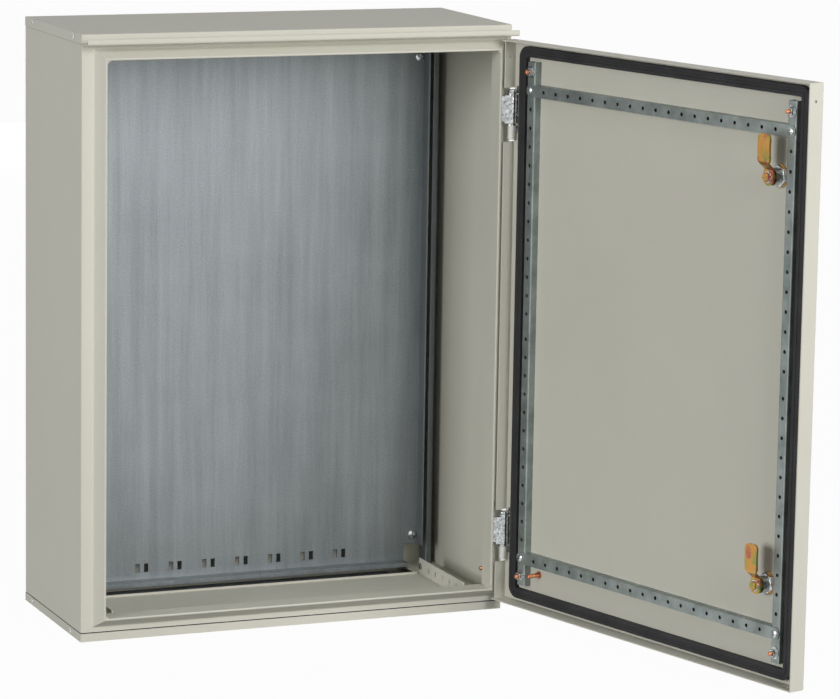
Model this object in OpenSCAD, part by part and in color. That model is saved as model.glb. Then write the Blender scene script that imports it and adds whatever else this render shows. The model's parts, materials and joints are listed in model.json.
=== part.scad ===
// Steel wall enclosure: folded sheet body with roof, rain visor and base pan, a galvanised mounting
// plate on sleeves, and a hinged door with gasket, perforated rails and two quarter-turn locks.
// Origin: centre of the base pan's underside. +X right, +Y to the wall, +Z up. Millimetres.

/* [Body] */
// Overall width, over the roof and the base pan
body_w = 600; // [500:10:800]
// Overall depth, without the door and the rain visor
body_d = 250; // [220:5:400]
// Overall height, from the base pan's underside to the top of the roof
body_h = 800; // [700:10:1200]
// Thickness of the painted sheet steel
sheet = 1.5; // [1.5:0.1:2]
// Height of the roof's skirt
roof_skirt = 13; // [10:1:16]
// How far the rain visor stands out over the door
visor_reach = 25; // [20:1:35]
// Height of the visor's turned-up lip
visor_lip = 6.5; // [3:1:8]
// Height of the base pan's rim
pan_rim = 11; // [9:1:14]
// Thickness of the seal between the base pan and the body
seal_t = 1.5; // [1:0.5:2]

/* [Front frame] */
// From the lock side of the body to the opening
margin_lock = 30; // [30:1:40]
// From the hinge side of the body to the opening
margin_hinge = 22.5; // [22.5:0.5:40]
// From the roof to the opening
margin_top = 33; // [33:1:40]
// From the base to the opening
margin_sill = 33; // [33:1:40]
// How far the sealing edge stands in front of the frame's flat
frame_rise = 16.5; // [14:0.5:16.5]
// Width of the sloping face
frame_slope = 11; // [9:1:12]
// Width of the sealing edge itself
nose_w = 2.5; // [2.4:0.1:3]
// Depth of the frame's return on three sides
return_d = 30; // [20:1:35]
// Depth of the return that the lock cams hook behind
return_lock = 19; // [10:1:20]

/* [Door] */
// Angle that the door stands open at
door_angle = 105.5; // [0:0.5:118]
// Depth of the door's edges
door_edge = 24; // [20:1:24]
// Depth of the door's edge on the hinge side, which swings past the frame
door_edge_hinge = 19; // [15:0.5:19]
// From the hinge axis out to the door's hinge edge
axis_inset = 3.5; // [3:0.5:4]
// Gap between the door's edge and the side of the body
door_gap = 2; // [1:0.5:3]
// From the roof's top to the door's top edge
door_drop = 18; // [16:1:19]
// From the base to the door's bottom edge
door_lift = 18.5; // [14:0.5:19]
// Width of the door gasket
gasket_w = 14; // [12:1:14]
// Thickness of the door gasket
gasket_t = 7; // [6:0.5:7]
// From the door's side edges to the gasket
gasket_side = 17.5; // [17:0.5:18]
// From the door's top and bottom edges to the gasket
gasket_end = 6.5; // [5:0.5:7]

/* [Door rails] */
// Width of the perforated rails
rail_w = 15.5; // [14:0.5:18]
// Height of the upright rails above the door panel
rail_h = 11; // [9:1:12]
// Distance from hole to hole
rail_pitch = 25; // [25:5:50]
// Diameter of the rail holes
rail_hole = 5; // [4:0.5:6]
// From the hinge-side rail's hole line to the door's edge
rail_inset_hinge = 48; // [42:0.5:60]
// From the lock-side rail's hole line to the door's edge
rail_inset_lock = 42.5; // [42:0.5:60]
// From the base up to the lower cross rail
rail_low = 84; // [80:1:100]
// From the roof's top down to the upper cross rail
rail_high = 82; // [80:1:100]

/* [Locks] */
// Height of the upper lock above the base
lock_high = 659; // [500:1:1000]
// Height of the lower lock above the base
lock_low = 142; // [135:1:250]
// From the lock-side rail's hole line to the locks
lock_inset = 28; // [25:0.5:40]
// Reach of the cams from their pivot
cam_reach = 54.5; // [50:0.5:56]

/* [Hinges] */
// Bottom of the upper hinge's barrel above the base
hinge_high = 670; // [500:1:1000]
// Bottom of the lower hinge's barrel above the base
hinge_low = 95; // [90:1:200]
// Length of the hinge barrels
barrel_l = 38; // [30:1:50]
// Radius of the hinge barrels
barrel_r = 5.5; // [5:0.1:5.5]
// Radius of the hinge pins
pin_r = 3; // [2.5:0.1:3.5]
// Radial running clearance of the hinge pins in the door's brackets
pin_play = 0.05; // [0.02:0.01:0.1]

/* [Mounting plate] */
// Thickness of the plate
plate_t = 2; // [1.5:0.5:3]
// Clear space between the plate and the back wall
plate_stand = 21.5; // [18:0.5:40]
// Depth of the plate's folded edges
plate_edge = 20; // [15:1:25]
// From the plate's side to the body's side
plate_side = 31.5; // [31.5:0.5:40]
// From the base up to the plate's bottom edge
plate_low = 20.5; // [20:0.5:40]
// From the roof's top down to the plate's top edge
plate_high = 27; // [25:1:60]
// Number of slot pairs along the bottom
slot_pairs = 7; // [3:2:9]
// Distance between slot pairs
slot_pitch = 48.5; // [45:0.5:60]
// How far the row of slots is off the plate's middle
slot_shift = 4.5; // [0:0.5:10]

/* [Floor] */
// Depth of the closed part of the floor, from the body's front
floor_closed = 172; // [150:1:185]
// From the centre out to the perforated floor rails
depth_rail_x = 251; // [180:1:255]
// Height of the perforated floor rails
depth_rail_h = 22; // [18:1:26]
// Width of the gland plate
gland_w = 450; // [300:10:450]

/* [Wall fixing] */
// Distance between the wall holes across
wall_x = 470; // [300:10:470]
// Distance between the wall holes up and down
wall_z = 680; // [500:10:680]
// Diameter of the wall holes
wall_hole = 9; // [7:0.5:12]

/* [Hidden] */

paint = [0.82, 0.81, 0.75];
galvanised = [0.58, 0.62, 0.64];
zinc = [0.72, 0.74, 0.75];
chromate = [0.80, 0.66, 0.28];
copper = [0.78, 0.42, 0.28];
rubber = [0.10, 0.10, 0.11];
nylon = [0.90, 0.90, 0.88];

eps = 0.01;
bend = 2;                              // outer radius of the sheet's folds
bend_steps = 3;
wall_x_out = body_w / 2;
wall_x_in = wall_x_out - sheet;
front_y = -body_d / 2;                 // the frame's flat face
back_y = body_d / 2;
back_y_in = back_y - sheet;
wall_z_low = pan_rim + seal_t;
seam = 0.3;
wall_z_high = body_h - roof_skirt - seam;                // the roof sits on the body like a lid
floor_top = wall_z_low + sheet;

nose_y = front_y - frame_rise;
open_left = -body_w / 2 + margin_lock;
open_right = body_w / 2 - margin_hinge;
open_low = margin_sill;
open_high = body_h - margin_top;
frame_w = nose_w + frame_slope;
mitre_x = wall_x_in - 3;

gasket_gap = 0.5;                      // between the closed door's gasket and the sealing edge
panel_y = nose_y - gasket_gap - gasket_t;                // the closed door panel's inner face
hinge_x = body_w / 2 - door_gap - axis_inset;
hinge_y = panel_y + 7;
panel_in = panel_y - hinge_y;
panel_out = panel_in - sheet;
door_rim = panel_out + door_edge;
door_x0 = -body_w / 2 + door_gap - hinge_x;
door_x1 = axis_inset;
door_z0 = door_lift;
door_z1 = body_h - door_drop;

gasket_x0 = door_x0 + gasket_side;
gasket_x1 = door_x1 - gasket_side;
gasket_z0 = door_z0 + gasket_end;
gasket_z1 = door_z1 - gasket_end;

rail_x_hinge = door_x1 - rail_inset_hinge;
rail_x_lock = door_x0 + rail_inset_lock;
rail_z_low = rail_low;
rail_z_high = body_h - rail_high;
rail_face = panel_in + rail_h;
rail_tail = 13;                        // rail beyond the stud
stud_r = 3;

lock_x = rail_x_lock + lock_inset;
housing_r = 11;
insert_r = 7;
cam_t = 3;
cam_hub_y = panel_in + 19;
cam_blade_y = nose_y + return_lock - hinge_y + 1.5;

plate_y = back_y_in - plate_stand - plate_t;             // the plate's front face
plate_x = body_w / 2 - plate_side;
plate_z0 = plate_low;
plate_z1 = body_h - plate_high;
plate_notch = [21, 25];
side_rail_x = [plate_x + 13.5, wall_x_in - 7];              // inner and outer side of the side rails
plate_screw_x = plate_x - 9;
plate_screw_z = 37.5;                  // from the plate's ends

floor_edge_y = front_y + floor_closed;
floor_hole_x = depth_rail_x - 2 * sheet;  // half the width of the floor's opening
gland_y0 = floor_edge_y + 4;
gland_y1 = back_y_in - 15;
gland_t = 1.5;
gland_seal = 3;
slot_low = 8;

// ---- folded sheet profiles ----

function heading(a, b) = atan2(b[1] - a[1], b[0] - a[0]);
function turn(a, b, c) = let (d = heading(b, c) - heading(a, b)) d > 180 ? d - 360 : d < -180 ? d + 360 : d;
function left_of(h) = [-sin(h), cos(h)];

// The fold at b as an arc of radius r that touches both legs.
function fold(a, b, c, r) =
    let (h = heading(a, b), t = turn(a, b, c), s = sign(t),
        start = b - r * tan(abs(t) / 2) * [cos(h), sin(h)],
        centre = start + s * r * left_of(h))
    [for (k = [0 : bend_steps]) centre - r * s * left_of(h + t * k / bend_steps)];

function folded_path(p, r) = let (n = len(p) - 1)
    concat([p[0]], [for (i = [1 : n - 1]) each fold(p[i - 1], p[i], p[i + 1], r[i - 1])], [p[n]]);

// The same path moved by t to the right of its direction.
function beside(p, t) = let (n = len(p) - 1) [for (i = [0 : n])
    let (h0 = i == 0 ? heading(p[0], p[1]) : heading(p[i - 1], p[i]),
        h1 = i == n ? h0 : heading(p[i], p[i + 1]),
        a = -left_of(h0), b = -left_of(h1))
    p[i] + t * (a + b) / (1 + a * b)];

function reversed(p) = [for (i = [len(p) - 1 : -1 : 0]) p[i]];

// The sheet's two faces have their folds about the same centres.
module folded_sheet(path, t, r = bend) {
    near = [for (i = [1 : len(path) - 2]) is_list(r) ? r[i - 1] : r];
    far = [for (i = [1 : len(path) - 2]) near[i - 1] + t * sign(turn(path[i - 1], path[i], path[i + 1]))];
    polygon(concat(folded_path(path, near), reversed(folded_path(beside(path, t), far))));
}

// A profile drawn in Y and Z, run along X from x0 to x1.
module along_x(x0, x1) {
    translate([x0, 0, 0]) rotate([90, 0, 90]) linear_extrude(x1 - x0) children();
}

// A profile drawn in X and Z, run along Y from y0 to y1.
module along_y(y0, y1) {
    translate([0, y1, 0]) rotate([90, 0, 0]) linear_extrude(y1 - y0) children();
}

module along_z(z0, z1) {
    translate([0, 0, z0]) linear_extrude(z1 - z0) children();
}

module round_rect(x0, x1, y0, y1, r) {
    translate([x0 + r, y0]) square([x1 - x0 - 2 * r, y1 - y0]);
    translate([x0, y0 + r]) square([x1 - x0, y1 - y0 - 2 * r]);
    for (x = [x0 + r, x1 - r], y = [y0 + r, y1 - r]) translate([x, y]) circle(r, $fn = 32);
}

module box(x0, x1, y0, y1, z0, z1) {
    translate([x0, y0, z0]) cube([x1 - x0, y1 - y0, z1 - z0]);
}

module slot(length, width) {
    square([width, length - width], center = true);
    for (s = [-1, 1]) translate([0, s * (length - width) / 2]) circle(width / 2, $fn = 24);
}

// ---- fasteners, standing on z = 0 with their head upwards ----

module pan_head(r, h) {
    rotate_extrude($fn = 32) intersection() {
        translate([0, h - 1.6 * r]) circle(1.6 * r, $fn = 64);
        square([r, h]);
    }
}

module cross_recess(size, depth) {
    for (a = [0, 90]) rotate([0, 0, a])
        translate([-size / 2, -size / 8, -depth]) cube([size, size / 4, depth + 1]);
}

module cross_screw(r, h, shank_r, shank_l) {
    difference() {
        pan_head(r, h);
        translate([0, 0, h]) cross_recess(r * 1.1, h * 0.55);
    }
    translate([0, 0, -shank_l]) cylinder(r = shank_r, h = shank_l, $fn = 24);
}

module hex_nut(across, h, hole_r) {
    difference() {
        cylinder(d = across / cos(30), h = h, $fn = 6);
        translate([0, 0, -1]) cylinder(r = hole_r, h = h + 2, $fn = 32);
    }
}

module washer(r, h, hole_r) {
    difference() {
        cylinder(r = r, h = h, $fn = 40);
        translate([0, 0, -1]) cylinder(r = hole_r, h = h + 2, $fn = 32);
    }
}

// ---- body ----

function frame_side(inner, side, depth) = [
    [inner, nose_y + depth],
    [inner, nose_y],
    [inner + side * nose_w, nose_y],
    [inner + side * frame_w, front_y]];

frame_bends = [1.6, 1.6, 3];

// The zone that the header and the sill take from the uprights, cut at 45 degrees at both ends.
module mitre_zone(edge, far, side) {
    over = 5;
    polygon([[open_left + over, edge - side * over], [-mitre_x, edge + side * (mitre_x + open_left)],
        [-mitre_x, far], [mitre_x, far], [mitre_x, edge + side * (mitre_x - open_right)],
        [open_right - over, edge - side * over]]);
}

module header_zone() { along_y(nose_y - 1, front_y + return_d) mitre_zone(open_high, body_h + 5, 1); }
module sill_zone() { along_y(nose_y - 1, front_y + return_d) mitre_zone(open_low, -5, -1); }

// Cuts through the hinge-side slope, one for each hinge leaf.
module hinge_slot(z) {
    slope = atan2(frame_rise, frame_slope);
    translate([open_right + nose_w, nose_y, z - 21]) rotate([0, 0, slope])
        translate([2.4, -4, 0]) cube([6, 6.2, barrel_l + 42]);
}

module body_wrap() {
    left = frame_side(open_left, -1, return_lock);
    right = frame_side(open_right, 1, return_d);
    path = concat(left, [[-wall_x_out, front_y], [-wall_x_out, back_y], [wall_x_out, back_y],
        [wall_x_out, front_y]], reversed(right));
    color(paint) difference() {
        along_z(wall_z_low, wall_z_high)
            folded_sheet(path, sheet, concat(frame_bends, [bend, bend, bend, bend], reversed(frame_bends)));
        header_zone();
        sill_zone();
        for (z = [hinge_low, hinge_high]) hinge_slot(z);
        for (x = [-1, 1], z = [-1, 1])
            translate([x * wall_x / 2, back_y_in - 1, body_h / 2 + z * wall_z / 2])
                rotate([-90, 0, 0]) cylinder(d = wall_hole, h = sheet + 2, $fn = 48);
    }
}

// Header and sill share one profile, drawn upwards from the opening.
module frame_profile(top) {
    path = concat([[nose_y + return_d, 0], [nose_y, 0], [nose_y, nose_w], [front_y, frame_w]], [[front_y, top]]);
    folded_sheet(path, sheet, frame_bends);
}

module front_header() {
    color(paint) intersection() {
        header_zone();
        along_x(-wall_x_in, wall_x_in) translate([0, open_high]) frame_profile(wall_z_high - open_high);
    }
}

module front_sill() {
    color(paint) intersection() {
        sill_zone();
        along_x(-wall_x_in, wall_x_in) translate([0, open_low]) mirror([0, 1])
            frame_profile(open_low - wall_z_low);
    }
}

// A lid: skirts flush with the body, an inner lip that drops into it, and the visor in front.
module roof() {
    skirt_z = body_h - roof_skirt;
    lip_z = skirt_z - 10;
    visor_y = front_y - visor_reach;
    profile = [[visor_y, skirt_z + sheet + visor_lip], [visor_y, skirt_z + sheet],
        [front_y, skirt_z + sheet], [front_y, body_h], [back_y, body_h], [back_y, skirt_z]];
    color(paint) {
        along_x(-wall_x_out, wall_x_out) folded_sheet(profile, sheet, [2, 2, 2, 2]);
        for (side = [0, 1]) mirror([side, 0, 0]) {
            box(wall_x_in, wall_x_out, front_y + sheet, back_y - sheet, skirt_z, body_h - sheet);
            box(wall_x_in - sheet, wall_x_in, front_y + 40, back_y_in - 2, lip_z, body_h - sheet);
        }
    }
}

module base_pan() {
    color(paint) difference() {
        union() {
            box(-body_w / 2, body_w / 2, -body_d / 2, back_y, 0, sheet);
            box(-body_w / 2, body_w / 2, -body_d / 2, -body_d / 2 + sheet, 0, pan_rim);
            for (x = [-body_w / 2, body_w / 2 - sheet])
                box(x, x + sheet, -body_d / 2, back_y, 0, pan_rim);
            box(-body_w / 2, body_w / 2, back_y - sheet, back_y, 0, pan_rim);
        }
        along_z(-1, sheet + 1) round_rect(-gland_w / 2 + 30, gland_w / 2 - 30, gland_y0 + 9, gland_y1 - 9, 4);
    }
}

module base_seal() {
    out = 0.8;
    color(rubber) along_z(pan_rim, pan_rim + seal_t) difference() {
        translate([-body_w / 2 + out, -body_d / 2 + out]) square([body_w - 2 * out, body_d - out]);
        translate([-body_w / 2 + 9, -body_d / 2 + 9]) square([body_w - 18, body_d - 17]);
    }
}

module body_floor() {
    lip = 3;
    color(paint) {
        difference() {
            box(-wall_x_in, wall_x_in, front_y + 2 * sheet, back_y_in, wall_z_low, floor_top);
            box(-floor_hole_x, floor_hole_x, floor_edge_y, gland_y1 + 4, 0, floor_top + 1);
        }
        box(-floor_hole_x, floor_hole_x, floor_edge_y - sheet, floor_edge_y, floor_top, floor_top + lip);
    }
}

function floor_rail_ends() = [nose_y + return_d + 2, floor_edge_y + 3.5];
floor_rail_screw_y = floor_rail_ends()[1] - 7;

// An upright perforated strip with a foot that turns outwards; side is -1 on the left.
module floor_rail(side) {
    ends = floor_rail_ends();
    mid_z = floor_top + depth_rail_h / 2;
    profile = [[depth_rail_x, floor_top + depth_rail_h], [depth_rail_x, floor_top], [depth_rail_x + 18, floor_top]];
    color(paint) mirror([side < 0 ? 1 : 0, 0, 0]) difference() {
        along_y(ends[0], ends[1]) polygon(concat(profile, reversed(beside(profile, -sheet))));
        for (y = [floor_rail_screw_y - 29 : -rail_pitch : ends[0] + 10])
            translate([depth_rail_x - 1, y, mid_z]) rotate([90, 0, 90])
                linear_extrude(sheet + 2) slot(slot_low, 5);
        translate([depth_rail_x - 1, floor_rail_screw_y, mid_z]) rotate([0, 90, 0])
            cylinder(r = 2.6, h = sheet + 2, $fn = 32);
    }
}

module floor_rail_left() { floor_rail(-1); }
module floor_rail_right() { floor_rail(1); }

module floor_rail_screws() {
    color(zinc) for (side = [0, 1]) mirror([side, 0, 0])
        translate([depth_rail_x, floor_rail_screw_y, floor_top + depth_rail_h / 2]) {
            rotate([0, -90, 0]) cross_screw(4.8, 3, 2.5, 8);
            translate([sheet, 0, 0]) rotate([0, 90, 0]) hex_nut(8, 4, 2.5);
        }
}

gland_screw = [gland_w / 2 - 13, (gland_y0 + gland_y1) / 2];

module gland_plate() {
    color(galvanised) difference() {
        along_z(sheet + gland_seal, sheet + gland_seal + gland_t)
            round_rect(-gland_w / 2, gland_w / 2, gland_y0, gland_y1, 3);
        for (s = [-1, 1]) translate([s * gland_screw[0], gland_screw[1], 0])
            cylinder(r = 2.6, h = 20, $fn = 32);
    }
}

module gland_gasket() {
    color(rubber) along_z(sheet, sheet + gland_seal) difference() {
        round_rect(-gland_w / 2, gland_w / 2, gland_y0, gland_y1, 3);
        round_rect(-gland_w / 2 + 28, gland_w / 2 - 28, gland_y0 + 7, gland_y1 - 7, 3);
        for (s = [-1, 1]) translate([s * gland_screw[0], gland_screw[1]]) circle(2.6, $fn = 32);
    }
}

module gland_screws() {
    color(zinc) for (s = [-1, 1])
        translate([s * gland_screw[0], gland_screw[1], sheet + gland_seal + gland_t])
            cross_screw(4.8, 3.4, 2.5, gland_seal + gland_t);
}

// ---- mounting plate ----

// A U-profile on the back wall beside the plate, open to the wall.
module support_rail(side) {
    y0 = plate_y + plate_t;
    path = [[side_rail_x[0], back_y_in], [side_rail_x[0], y0], [side_rail_x[1], y0], [side_rail_x[1], back_y_in]];
    color(galvanised) mirror([side < 0 ? 1 : 0, 0, 0])
        along_z(floor_top, plate_z1) folded_sheet(path, -sheet);
}

module support_rail_left() { support_rail(-1); }
module support_rail_right() { support_rail(1); }

module plate_outline() {
    difference() {
        translate([-plate_x, plate_z0]) square([2 * plate_x, plate_z1 - plate_z0]);
        for (x = [-plate_x - 1, plate_x - plate_notch[0]], z = [plate_z0 - 1, plate_z1 - plate_notch[1]])
            translate([x, z]) square([plate_notch[0] + 1, plate_notch[1] + 1]);
    }
}

module mounting_plate() {
    hem = 4;
    inner_x = plate_x - plate_notch[0] - 1;
    front = plate_y - plate_edge;
    color(galvanised) difference() {
        union() {
            along_y(plate_y, plate_y + plate_t) plate_outline();
            for (side = [0, 1]) mirror([side, 0, 0])
                box(plate_x - plate_t, plate_x, front, plate_y + plate_t,
                    plate_z0 + plate_notch[1], plate_z1 - plate_notch[1]);
            for (z = [plate_z0, plate_z1 - plate_t])
                box(-inner_x, inner_x, front, plate_y + plate_t, z, z + plate_t);
            box(-inner_x, inner_x, front, front + plate_t, plate_z0 - hem, plate_z0);
            box(-inner_x, inner_x, front, front + plate_t, plate_z1, plate_z1 + hem);
        }
        for (i = [0 : slot_pairs - 1], s = [-1, 1])
            translate([slot_shift + (i - (slot_pairs - 1) / 2) * slot_pitch + s * 6.25, 0, plate_z0 + 18])
                along_y(plate_y - 1, plate_y + plate_t + 1) translate([-3, -6]) square([6, 12]);
        for (x = [-1, 1], z = [plate_z0 + plate_screw_z, plate_z1 - plate_screw_z])
            translate([x * plate_screw_x, plate_y - 1, z]) rotate([-90, 0, 0])
                cylinder(r = 3.2, h = plate_t + 2, $fn = 32);
    }
}

module at_plate_screws() {
    for (side = [0, 1], z = [plate_z0 + plate_screw_z, plate_z1 - plate_screw_z]) mirror([side, 0, 0])
        translate([plate_screw_x, plate_y, z]) children();
}

module plate_screws() {
    color(zinc) at_plate_screws() rotate([90, 0, 0]) cross_screw(6, 4, 3, plate_t + plate_stand - 2);
}

// Sleeves that hold the plate off the back wall.
module plate_standoffs() {
    color(zinc) at_plate_screws() translate([0, plate_t, 0]) rotate([-90, 0, 0]) washer(6.5, plate_stand, 3.1);
}

module body_earth_stud() {
    color(copper) translate([wall_x_in, -80, 47]) rotate([0, -90, 0]) {
        cylinder(r = stud_r, h = 11, $fn = 32);
        cylinder(r = 5, h = 1.2, $fn = 32);
    }
}

module rivet() {
    pan_head(2.6, 0.9);
}

module roof_rivets() {
    color(paint) for (side = [0, 1], y = [-90, 90]) mirror([side, 0, 0])
        translate([body_w / 2, y, body_h - 6]) rotate([0, 90, 0]) rivet();
}

module base_rivets() {
    color(paint) for (side = [0, 1], y = [-80, 92]) mirror([side, 0, 0])
        translate([body_w / 2, y, 5.5]) rotate([0, 90, 0]) rivet();
}

// ---- hinges ----

// Leaf from the barrel through the slope's slot to a foot on the back of the frame's return.
module hinge_leaf(z) {
    foot_x = open_right + sheet;
    slope = atan2(frame_rise, frame_slope);
    web = [open_right + nose_w + 5.4 * cos(slope), nose_y + 5.4 * sin(slope)];
    axis = [hinge_x, hinge_y];
    h = heading(axis, web);
    length = norm(web - axis) + 2.9;
    color(zinc) difference() {
        union() {
            translate([hinge_x, hinge_y, z]) cylinder(r = barrel_r, h = barrel_l, $fn = 48);
            translate([hinge_x, hinge_y, z + 2]) rotate([0, 0, h]) translate([0, -1.5, 0])
                cube([length, 3, barrel_l - 4]);
            box(foot_x, foot_x + 3, nose_y + 6.5, nose_y + return_d, z - 15, z + barrel_l + 15);
        }
        translate([hinge_x, hinge_y, z - 1]) cylinder(r = pin_r, h = barrel_l + 2, $fn = 48);
    }
}

module hinge_leaf_upper() { hinge_leaf(hinge_high); }
module hinge_leaf_lower() { hinge_leaf(hinge_low); }

tab_t = 2.7;
tab_gap = 0.3;
sleeve_l = 18.5;
sleeve_r = 4.6;
below_barrel = tab_gap + tab_t + tab_gap;

module hinge_pin(z) {
    cap_z = barrel_l + below_barrel;
    color(zinc) translate([hinge_x, hinge_y, z]) {
        translate([0, 0, -below_barrel - sleeve_l]) cylinder(r = pin_r, h = cap_z + below_barrel + sleeve_l, $fn = 48);
        translate([0, 0, cap_z]) pan_head(5.2, 3.6);
    }
}

module hinge_pin_upper() { hinge_pin(hinge_high); }
module hinge_pin_lower() { hinge_pin(hinge_low); }

module hinge_sleeve(z) {
    color(nylon) translate([hinge_x, hinge_y, z - below_barrel - sleeve_l])
        rotate_extrude($fn = 48) polygon([[pin_r, 0], [sleeve_r - 0.8, 0], [sleeve_r, 0.8],
            [sleeve_r, sleeve_l], [pin_r, sleeve_l]]);
}

module hinge_sleeve_upper() { hinge_sleeve(hinge_high); }
module hinge_sleeve_lower() { hinge_sleeve(hinge_low); }

// ---- door, drawn closed with the hinge axis at x = 0, y = 0 and swung open by on_door() ----

module on_door() {
    translate([hinge_x, hinge_y, 0]) rotate([0, 0, door_angle]) children();
}

// On the door panel's inner face at x and z, with +Z of the child pointing into the enclosure.
module on_panel(x, z) {
    translate([x, panel_in, z]) rotate([-90, 0, 0]) children();
}

// A block from the door's face to the back whose front edges are rounded on all four sides.
module tray_block(inset, r, front, back) {
    x0 = door_x0 + inset;
    x1 = door_x1 - inset;
    z0 = door_z0 + inset;
    z1 = door_z1 - inset;
    function edge(a, b) = concat([[a, back]], fold([a, back], [a, front], [b, front], r),
        fold([a, front], [b, front], [b, back], r), [[b, back]]);
    intersection() {
        along_z(z0, z1) polygon(edge(x0, x1));
        along_x(x0, x1) polygon([for (p = edge(z0, z1)) [p[1], p[0]]]);
    }
}

module bracket_notch(z) {
    box(door_x1 - sheet - 0.2, door_x1 + 1, panel_in, door_rim + 1, z - below_barrel - sleeve_l - 3,
        z + barrel_l + below_barrel + 6);
}

module door_panel() {
    hole_z = door_z1 - 23;
    color(paint) on_door() difference() {
        tray_block(0, 2.5, panel_out, door_rim);
        tray_block(sheet, 1, panel_in, door_rim + 1);
        box(door_x1 - sheet - 0.2, door_x1 + 1, panel_out + door_edge_hinge, door_rim + 1,
            door_z0 + sheet, door_z1 - sheet);
        for (z = [hinge_low, hinge_high]) bracket_notch(z);
        for (z = [lock_low, lock_high]) on_panel(lock_x, z) translate([0, 0, -5])
            cylinder(r = housing_r + 0.2, h = 10, $fn = 64);
        translate([door_x0 - 1, panel_in + 12, hole_z]) rotate([0, 90, 0])
            cylinder(r = 2, h = sheet + 2, $fn = 24);
        translate([door_x1 - sheet - 1, panel_in + 10, hole_z]) rotate([0, 90, 0])
            cylinder(r = 2, h = sheet + 2, $fn = 24);
        translate([door_x0 + 20, panel_in + 12, door_z0 - 1]) linear_extrude(sheet + 2) slot(9, 3.5);
    }
}

module gasket_ring(inset, width) {
    difference() {
        round_rect(gasket_x0 + inset, gasket_x1 - inset, gasket_z0 + inset, gasket_z1 - inset, 16 - inset);
        round_rect(gasket_x0 + inset + width, gasket_x1 - inset - width, gasket_z0 + inset + width,
            gasket_z1 - inset - width, 3);
    }
}

module door_gasket() {
    imprint = 4;
    color(rubber) on_door() difference() {
        along_y(panel_in, panel_in + gasket_t) gasket_ring(0, gasket_w);
        along_y(panel_in + gasket_t - 1, panel_in + gasket_t + 1)
            gasket_ring((gasket_w - imprint) / 2, imprint);
    }
}

rail_count = floor((rail_z_high - rail_z_low) / 2 / rail_pitch - 0.5);
cross_count = floor((rail_x_hinge - rail_x_lock - 2 * rail_w) / rail_pitch) + 1;

function rail_holes() = concat(
    [for (k = [-1 : rail_count]) rail_z_low + k * rail_pitch],
    [for (k = [-1 : rail_count]) rail_z_high - k * rail_pitch]);

// An open channel with its web away from the panel.
module channel(height) {
    path = [[-rail_w / 2, 0], [-rail_w / 2, height], [rail_w / 2, height], [rail_w / 2, 0]];
    folded_sheet(path, sheet, 1.7);
}

module upright_rail(x) {
    color(galvanised) on_door() difference() {
        translate([x, panel_in]) along_z(rail_z_low - rail_pitch - rail_tail, rail_z_high + rail_pitch + rail_tail)
            channel(rail_h);
        for (z = rail_holes()) on_panel(x, z) cylinder(d = rail_hole, h = rail_h + 1, $fn = 24);
        for (z = [rail_z_low - rail_pitch, rail_z_high + rail_pitch]) on_panel(x, z)
            cylinder(r = stud_r + 0.1, h = rail_h + 1, $fn = 24);
    }
}

module door_rail_hinge_side() { upright_rail(rail_x_hinge); }
module door_rail_lock_side() { upright_rail(rail_x_lock); }

// A channel between the uprights whose web runs on as a round-ended tab over each of them.
module cross_rail(z) {
    gap = rail_w / 2 + 0.5;
    mid = (rail_x_hinge + rail_x_lock) / 2;
    color(galvanised) on_door() difference() {
        union() {
            translate([0, panel_in, z]) along_x(rail_x_lock + gap, rail_x_hinge - gap)
                rotate([0, 0, -90]) mirror([1, 0]) channel(rail_h + sheet);
            along_y(rail_face, rail_face + sheet) translate([mid, z]) rotate([0, 0, 90])
                slot(rail_x_hinge - rail_x_lock + rail_w, rail_w);
        }
        for (x = [rail_x_lock, rail_x_hinge]) on_panel(x, z) cylinder(r = 2.1, h = rail_h + 4, $fn = 24);
        for (k = [0 : cross_count - 1]) on_panel(mid + (k - (cross_count - 1) / 2) * rail_pitch, z)
            cylinder(d = rail_hole, h = rail_h + 4, $fn = 24);
    }
}

module door_rail_top() { cross_rail(rail_z_high); }
module door_rail_bottom() { cross_rail(rail_z_low); }

module at_rail_corners(beyond) {
    for (x = [rail_x_lock, rail_x_hinge], e = [[rail_z_low, -1], [rail_z_high, 1]])
        on_panel(x, e[0] + e[1] * beyond) children();
}

module rail_studs() {
    color(copper) on_door() at_rail_corners(rail_pitch) {
        cylinder(r = stud_r, h = rail_h + 10, $fn = 32);
        cylinder(r = 5, h = 1.2, $fn = 32);
    }
}

module rail_washers() {
    color(zinc) on_door() at_rail_corners(rail_pitch) translate([0, 0, rail_h]) washer(7, 1.2, stud_r);
}

module rail_nuts() {
    color(zinc) on_door() at_rail_corners(rail_pitch) translate([0, 0, rail_h + 1.2]) hex_nut(10, 5, stud_r);
}

module rail_screws() {
    color(zinc) on_door() at_rail_corners(0) translate([0, 0, rail_h + sheet]) cross_screw(4.8, 3, 2, 9);
}

module door_earth_bolt() {
    color(copper) on_door() on_panel(rail_x_hinge - 26, rail_z_low - 20) {
        cylinder(r = 5, h = 1.5, $fn = 32);
        cylinder(r = stud_r, h = 20, $fn = 32);
    }
}

// Two tabs with bores on one thin foot between the door's edge and the gasket.
module hinge_bracket(z) {
    foot_t = 1.2;
    foot_x0 = -6.6;
    foot_x1 = door_x1 - sheet - 1.2;
    color(zinc) on_door() difference() {
        union() {
            box(foot_x0, foot_x1, panel_in, panel_in + foot_t, z - 12, z + barrel_l + 12);
            for (tab_z = [z - tab_gap - tab_t, z + barrel_l + tab_gap]) {
                box(foot_x0, foot_x1, panel_in, 0, tab_z, tab_z + tab_t);
                translate([0, 0, tab_z]) cylinder(r = 6.6, h = tab_t, $fn = 48);
            }
        }
        translate([0, 0, z - 20]) cylinder(r = pin_r + pin_play, h = barrel_l + 40, $fn = 48);
    }
}

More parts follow.
